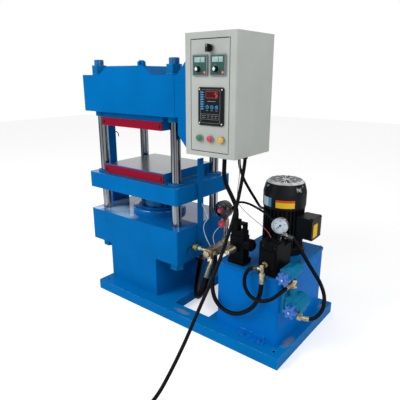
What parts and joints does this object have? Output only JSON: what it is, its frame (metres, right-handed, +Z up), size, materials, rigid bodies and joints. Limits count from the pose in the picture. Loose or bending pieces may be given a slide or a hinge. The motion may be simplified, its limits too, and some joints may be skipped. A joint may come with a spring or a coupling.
{
  "type": "rubber vulcanizing press",
  "caption": "Column press with a ram-lifted table between heated platens, a side control cabinet and an oil unit on a skid, for curing rubber in a mould.",
  "frame": {"origin": "on the floor, at the centre of the four anchor holes of the skid", "axes": "+X to the right as one faces the press, +Y to the back, +Z up"},
  "size_m": [1.2905, 1.1693, 1.238],
  "materials": {
    "blue_paint": "gloss enamel",
    "teal_paint": "gloss enamel over a casting",
    "red_paint": "gloss enamel",
    "grey_paint": "powder coat",
    "black_paint": "semi-gloss enamel",
    "bare_steel": "ground",
    "column_chrome": "hard chrome, polished",
    "cast_steel": "as cast",
    "pale_metal": "satin",
    "brass": "turned",
    "insulation_board": "fibre board",
    "grey_plastic": "moulded",
    "black_plastic": "moulded",
    "green_plastic": "moulded",
    "red_plastic": "moulded",
    "yellow_plastic": "moulded",
    "blue_plastic": "moulded",
    "hose_rubber": "matt",
    "cable_rubber": "satin sheath",
    "wire_plastic": "sheath"
  },
  "bodies": {
    "frame": {"skid_frame": "blue_paint", "pedestal": "blue_paint", "lower_beam": "blue_paint", "cylinder_barrel": "blue_paint", "gland_ring": "bare_steel", "tie_columns": "column_chrome", "column_nuts": "blue_paint", "crosshead": "blue_paint", "upper_insulation": "blue_paint", "upper_platen": "bare_steel", "upper_strips": "red_paint", "upper_heaters": "bare_steel", "limit_bars": "blue_paint", "cabinet_bracket": "blue_paint", "cabinet_box": "grey_paint", "electrical_panel": "grey_plastic", "hinge_pins": "bare_steel", "cable_glands": "black_plastic", "oil_tank": "blue_paint", "tank_lid": "blue_paint", "motor_frame": "black_paint", "fan_cover": "black_paint", "terminal_box": "black_paint", "gear_pump": "cast_steel", "directional_valve": "black_paint", "relief_valve": "black_paint", "gauge_case": "bare_steel", "contact_gauge": "black_paint", "hand_valves": "teal_paint", "brass_fittings": "brass", "hydraulic_hoses": "hose_rubber", "control_cables": "cable_rubber", "sensor_wires": "wire_plastic", "mains_lead": "cable_rubber", "mains_coil": "cable_rubber", "mains_plug": "blue_plastic"},
    "table": {"ram": "column_chrome", "table": "blue_paint", "table_bushes": "brass", "lower_insulation": "insulation_board", "lower_platen": "bare_steel", "lower_strips": "red_paint", "lower_heaters": "bare_steel"},
    "door": {"cabinet_door": "grey_paint", "temperature_controllers": "green_plastic", "press_timer": "black_plastic", "switch_bodies": "grey_plastic"},
    "start": {"start_button": "green_plastic"},
    "stop": {"stop_button": "red_plastic"},
    "open": {"open_button": "yellow_plastic"},
    "power": {"power_knob": "black_plastic"},
    "left_setting": {"left_setting_knob": "black_plastic"},
    "right_setting": {"right_setting_knob": "black_plastic"},
    "rotor": {"motor_rotor": "cast_steel"},
    "pressure_needle": {"gauge_needle": "black_plastic"},
    "contact_pointer": {"contact_needle": "pale_metal"},
    "contact_setting": {"contact_knob": "red_plastic"},
    "upper_wheel": {"upper_handwheel": "blue_plastic"},
    "lower_wheel": {"lower_handwheel": "blue_plastic"},
    "shutoff": {"shutoff_knob": "red_plastic"}
  },
  "joints": [
    {"name": "table_slide", "type": "slide", "parent": "frame", "child": "table", "axis": [0, 0, 1], "range_m": [0, 0.193]},
    {"name": "door_hinge", "type": "hinge", "parent": "frame", "child": "door", "pos_m": [0.2835, -0.2735, 1.0155], "axis": [0, 0, 1], "range_deg": [0, 105]},
    {"name": "start_press", "type": "slide", "parent": "door", "child": "start", "axis": [0, 1, 0], "range_m": [0, 0.004], "stiffness_N_per_m": 400},
    {"name": "stop_press", "type": "slide", "parent": "door", "child": "stop", "axis": [0, 1, 0], "range_m": [0, 0.004], "stiffness_N_per_m": 400},
    {"name": "open_press", "type": "slide", "parent": "door", "child": "open", "axis": [0, 1, 0], "range_m": [0, 0.004], "stiffness_N_per_m": 400},
    {"name": "power_turn", "type": "hinge", "parent": "door", "child": "power", "pos_m": [0.2055, -0.29, 1.183], "axis": [0, 1, 0], "range_deg": [0, 90]},
    {"name": "left_setting_turn", "type": "hinge", "parent": "door", "child": "left_setting", "pos_m": [0.156, -0.288, 1.113], "axis": [0, 1, 0], "range_deg": [-135, 135]},
    {"name": "right_setting_turn", "type": "hinge", "parent": "door", "child": "right_setting", "pos_m": [0.235, -0.288, 1.113], "axis": [0, 1, 0], "range_deg": [-135, 135]},
    {"name": "rotor_spin", "type": "hinge", "parent": "frame", "child": "rotor", "pos_m": [0.3405, 0.09, 0.5], "axis": [0, 0, 1], "continuous": true},
    {"name": "pressure_needle_turn", "type": "hinge", "parent": "frame", "child": "pressure_needle", "pos_m": [0.426, -0.103, 0.525], "axis": [-0.2079, 0.9781, 0], "range_deg": [0, 270], "stiffness_Nm_per_rad": 0.002},
    {"name": "contact_pointer_turn", "type": "hinge", "parent": "frame", "child": "contact_pointer", "pos_m": [0.075, 0.005, 0.493], "axis": [0, 1, 0], "range_deg": [0, 270], "stiffness_Nm_per_rad": 0.004},
    {"name": "contact_setting_turn", "type": "hinge", "parent": "frame", "child": "contact_setting", "pos_m": [0.075, -0.012, 0.493], "axis": [0, 1, 0], "continuous": true},
    {"name": "upper_wheel_turn", "type": "hinge", "parent": "frame", "child": "upper_wheel", "pos_m": [0.51, -0.222, 0.364], "axis": [0, 1, 0], "continuous": true},
    {"name": "lower_wheel_turn", "type": "hinge", "parent": "frame", "child": "lower_wheel", "pos_m": [0.545, -0.222, 0.241], "axis": [0, 1, 0], "continuous": true},
    {"name": "shutoff_turn", "type": "hinge", "parent": "frame", "child": "shutoff", "pos_m": [0.075, -0.01, 0.424], "axis": [0, 1, 0], "continuous": true}
  ]
}
